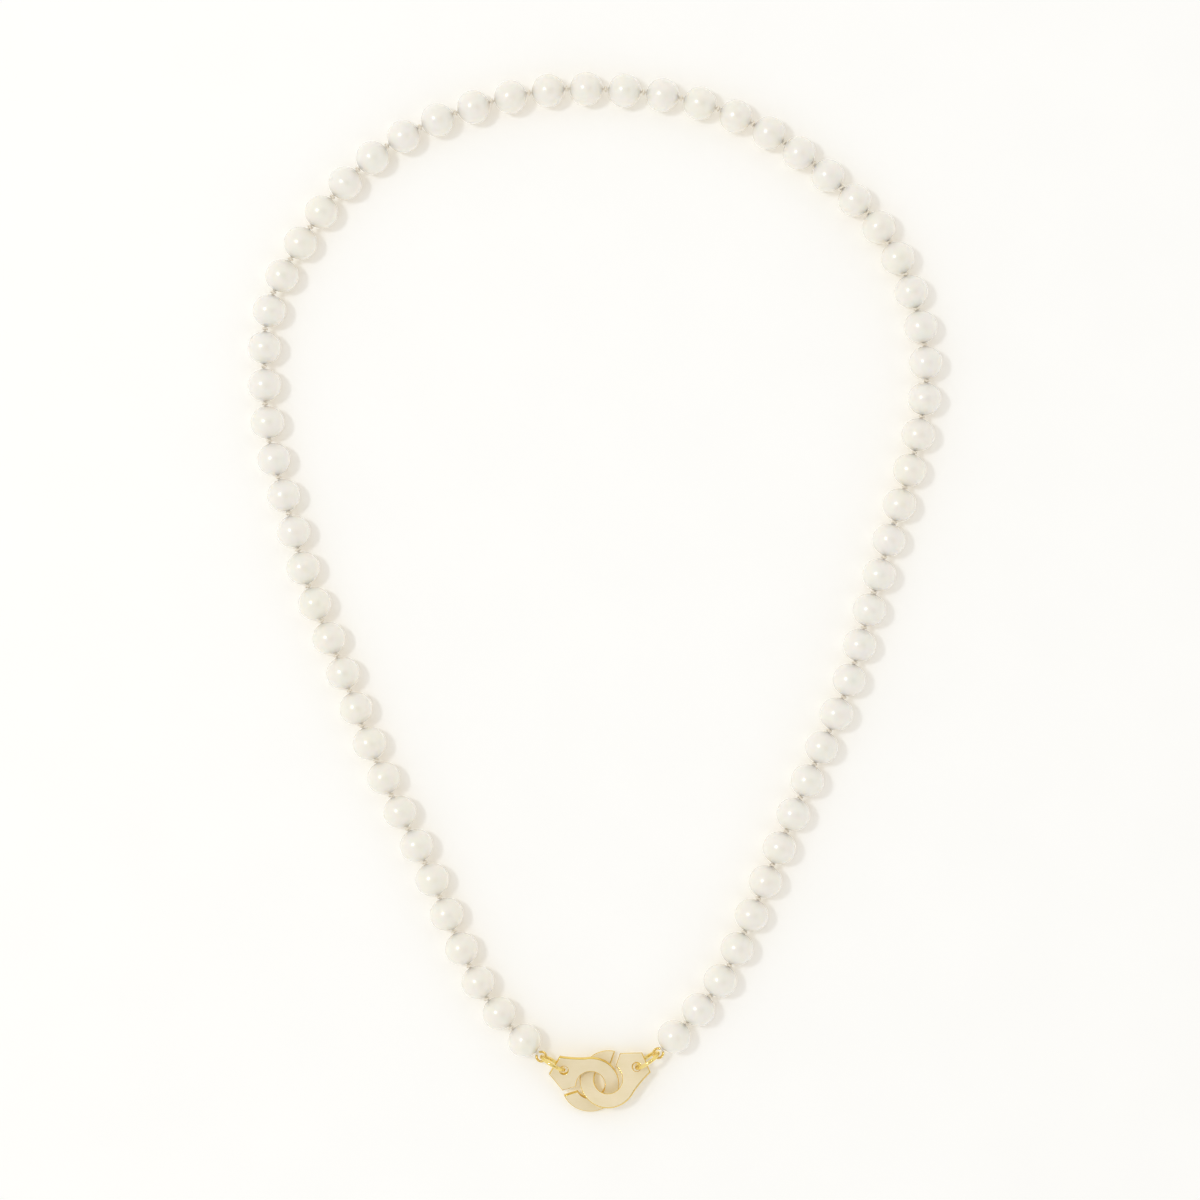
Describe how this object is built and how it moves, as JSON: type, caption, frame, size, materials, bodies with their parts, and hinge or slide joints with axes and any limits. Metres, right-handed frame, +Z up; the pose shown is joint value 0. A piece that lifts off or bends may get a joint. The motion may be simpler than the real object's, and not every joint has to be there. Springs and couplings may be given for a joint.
{
  "type": "pearl necklace",
  "caption": "Single-strand pearl necklace, hand-knotted on silk, closed by two interlocking flat hook plates that hang on jump rings.",
  "frame": {"origin": "centre of the necklace's footprint, on the flat surface it lies on", "axes": "+Y from the clasp to the front of the necklace, +X to the right with the clasp nearest, +Z up from the surface"},
  "size_m": [0.1206, 0.1809, 0.0058],
  "materials": {
    "pearl": "nacre, warm white with a faint pink and green sheen, high lustre",
    "silk": "twisted cream silk thread",
    "french_wire": "fine coiled gold wire, bright",
    "ring_gold": "polished yellow gold wire",
    "plate_gold": "pale yellow gold, satin faces and polished edges"
  },
  "bodies": {
    "front": {"front_pearls_left": "pearl", "front_pearls_right": "pearl", "front_silk": "silk"},
    "row_24": {"pearl_pair_24": "pearl", "silk_pair_24": "silk"},
    "row_23": {"pearl_pair_23": "pearl", "silk_pair_23": "silk"},
    "row_22": {"pearl_pair_22": "pearl", "silk_pair_22": "silk"},
    "row_21": {"pearl_pair_21": "pearl", "silk_pair_21": "silk"},
    "row_20": {"pearl_pair_20": "pearl", "silk_pair_20": "silk"},
    "row_19": {"pearl_pair_19": "pearl", "silk_pair_19": "silk"},
    "row_18": {"pearl_pair_18": "pearl", "silk_pair_18": "silk"},
    "row_17": {"pearl_pair_17": "pearl", "silk_pair_17": "silk"},
    "row_16": {"pearl_pair_16": "pearl", "silk_pair_16": "silk"},
    "row_15": {"pearl_pair_15": "pearl", "silk_pair_15": "silk"},
    "row_14": {"pearl_pair_14": "pearl", "silk_pair_14": "silk"},
    "row_13": {"pearl_pair_13": "pearl", "silk_pair_13": "silk"},
    "row_12": {"pearl_pair_12": "pearl", "silk_pair_12": "silk"},
    "row_11": {"pearl_pair_11": "pearl", "silk_pair_11": "silk"},
    "row_10": {"pearl_pair_10": "pearl", "silk_pair_10": "silk"},
    "row_09": {"pearl_pair_09": "pearl", "silk_pair_09": "silk"},
    "row_08": {"pearl_pair_08": "pearl", "silk_pair_08": "silk"},
    "row_07": {"pearl_pair_07": "pearl", "silk_pair_07": "silk"},
    "row_06": {"pearl_pair_06": "pearl", "silk_pair_06": "silk"},
    "row_05": {"pearl_pair_05": "pearl", "silk_pair_05": "silk"},
    "row_04": {"pearl_pair_04": "pearl", "silk_pair_04": "silk"},
    "row_03": {"pearl_pair_03": "pearl", "silk_pair_03": "silk"},
    "row_02": {"pearl_pair_02": "pearl", "silk_pair_02": "silk"},
    "row_01": {"pearl_pair_01": "pearl", "silk_pair_01": "silk", "gimp_left": "french_wire", "gimp_right": "french_wire"},
    "clasp_left": {"clasp_plate_left": "plate_gold"},
    "clasp_right": {"clasp_plate_right": "plate_gold"},
    "ring_left": {"jump_ring_left": "ring_gold"},
    "ring_right": {"jump_ring_right": "ring_gold"}
  },
  "joints": [
    {"name": "fold_24", "type": "hinge", "parent": "front", "child": "row_24", "pos_m": [0.00121, 0.06209, 0.00287], "axis": [-0.9997, 0.0249, 0], "range_deg": [-12, 12]},
    {"name": "fold_23", "type": "hinge", "parent": "row_24", "child": "row_23", "pos_m": [0.00085, 0.05649, 0.00287], "axis": [-0.9997, 0.0249, 0], "range_deg": [-12, 12]},
    {"name": "fold_22", "type": "hinge", "parent": "row_23", "child": "row_22", "pos_m": [0.00034, 0.05058, 0.00287], "axis": [-0.9997, 0.0258, 0], "range_deg": [-12, 12]},
    {"name": "fold_21", "type": "hinge", "parent": "row_22", "child": "row_21", "pos_m": [0.0003, 0.04433, 0.00287], "axis": [-0.9997, 0.0237, 0], "range_deg": [-12, 12]},
    {"name": "fold_20", "type": "hinge", "parent": "row_21", "child": "row_20", "pos_m": [0.00038, 0.03793, 0.00287], "axis": [-0.9998, 0.0218, 0], "range_deg": [-12, 12]},
    {"name": "fold_19", "type": "hinge", "parent": "row_20", "child": "row_19", "pos_m": [0.00009, 0.03154, 0.00287], "axis": [-0.9998, 0.0198, 0], "range_deg": [-12, 12]},
    {"name": "fold_18", "type": "hinge", "parent": "row_19", "child": "row_18", "pos_m": [-0.00021, 0.02522, 0.00287], "axis": [-0.9998, 0.0176, 0], "range_deg": [-12, 12]},
    {"name": "fold_17", "type": "hinge", "parent": "row_18", "child": "row_17", "pos_m": [-0.00026, 0.01901, 0.00287], "axis": [-0.9999, 0.0161, 0], "range_deg": [-12, 12]},
    {"name": "fold_16", "type": "hinge", "parent": "row_17", "child": "row_16", "pos_m": [-0.00027, 0.01286, 0.00287], "axis": [-0.9999, 0.0146, 0], "range_deg": [-12, 12]},
    {"name": "fold_15", "type": "hinge", "parent": "row_16", "child": "row_15", "pos_m": [-0.00035, 0.00666, 0.00287], "axis": [-0.9999, 0.0127, 0], "range_deg": [-12, 12]},
    {"name": "fold_14", "type": "hinge", "parent": "row_15", "child": "row_14", "pos_m": [-0.00035, 0.00048, 0.00287], "axis": [-0.9999, 0.0111, 0], "range_deg": [-12, 12]},
    {"name": "fold_13", "type": "hinge", "parent": "row_14", "child": "row_13", "pos_m": [-0.00005, -0.00561, 0.00287], "axis": [-0.9999, 0.0115, 0], "range_deg": [-12, 12]},
    {"name": "fold_12", "type": "hinge", "parent": "row_13", "child": "row_12", "pos_m": [0.00044, -0.01165, 0.00287], "axis": [-0.9999, 0.0137, 0], "range_deg": [-12, 12]},
    {"name": "fold_11", "type": "hinge", "parent": "row_12", "child": "row_11", "pos_m": [0.00059, -0.0177, 0.00287], "axis": [-0.9999, 0.0131, 0], "range_deg": [-12, 12]},
    {"name": "fold_10", "type": "hinge", "parent": "row_11", "child": "row_10", "pos_m": [0.00047, -0.02368, 0.00287], "axis": [-0.9999, 0.0102, 0], "range_deg": [-12, 12]},
    {"name": "fold_09", "type": "hinge", "parent": "row_10", "child": "row_09", "pos_m": [0.00039, -0.02959, 0.00287], "axis": [-1, 0.0072, 0], "range_deg": [-12, 12]},
    {"name": "fold_08", "type": "hinge", "parent": "row_09", "child": "row_08", "pos_m": [0.00046, -0.03549, 0.00287], "axis": [-1, 0.0056, 0], "range_deg": [-12, 12]},
    {"name": "fold_07", "type": "hinge", "parent": "row_08", "child": "row_07", "pos_m": [0.00071, -0.04132, 0.00287], "axis": [-1, 0.0063, 0], "range_deg": [-12, 12]},
    {"name": "fold_06", "type": "hinge", "parent": "row_07", "child": "row_06", "pos_m": [0.00097, -0.04716, 0.00287], "axis": [-1, 0.0072, 0], "range_deg": [-12, 12]},
    {"name": "fold_05", "type": "hinge", "parent": "row_06", "child": "row_05", "pos_m": [0.00101, -0.05308, 0.00287], "axis": [-1, 0.0047, 0], "range_deg": [-12, 12]},
    {"name": "fold_04", "type": "hinge", "parent": "row_05", "child": "row_04", "pos_m": [0.00104, -0.059, 0.00287], "axis": [-1, 0.0015, 0], "range_deg": [-12, 12]},
    {"name": "fold_03", "type": "hinge", "parent": "row_04", "child": "row_03", "pos_m": [0.0011, -0.06487, 0.00287], "axis": [-1, -0.0018, 0], "range_deg": [-12, 12]},
    {"name": "fold_02", "type": "hinge", "parent": "row_03", "child": "row_02", "pos_m": [0.00096, -0.07041, 0.00287], "axis": [-0.9999, -0.0122, 0], "range_deg": [-12, 12]},
    {"name": "fold_01", "type": "hinge", "parent": "row_02", "child": "row_01", "pos_m": [0.00097, -0.07527, 0.00287], "axis": [-0.9997, -0.023, 0], "range_deg": [-12, 12]},
    {"name": "clasp_swing", "type": "hinge", "parent": "row_01", "child": "clasp_left", "pos_m": [0.00117, -0.0804, 0.00287], "axis": [-0.9996, -0.0291, 0], "range_deg": [-25, 25]},
    {"name": "plate_play", "type": "hinge", "parent": "clasp_left", "child": "clasp_right", "pos_m": [0.00762, -0.0826, 0.00225], "axis": [-0.1503, 0.2288, 0.9618], "range_deg": [-4.5, 4.5]},
    {"name": "ring_left_turn", "type": "hinge", "parent": "clasp_left", "child": "ring_left", "pos_m": [-0.00704, -0.08183, 0.00278], "axis": [-0.8636, 0.5026, 0.0403], "range_deg": [-20, 20]},
    {"name": "ring_right_turn", "type": "hinge", "parent": "clasp_left", "child": "ring_right", "pos_m": [0.00947, -0.08135, 0.00256], "axis": [0.8201, 0.5553, 0.138], "range_deg": [-20, 10]}
  ]
}
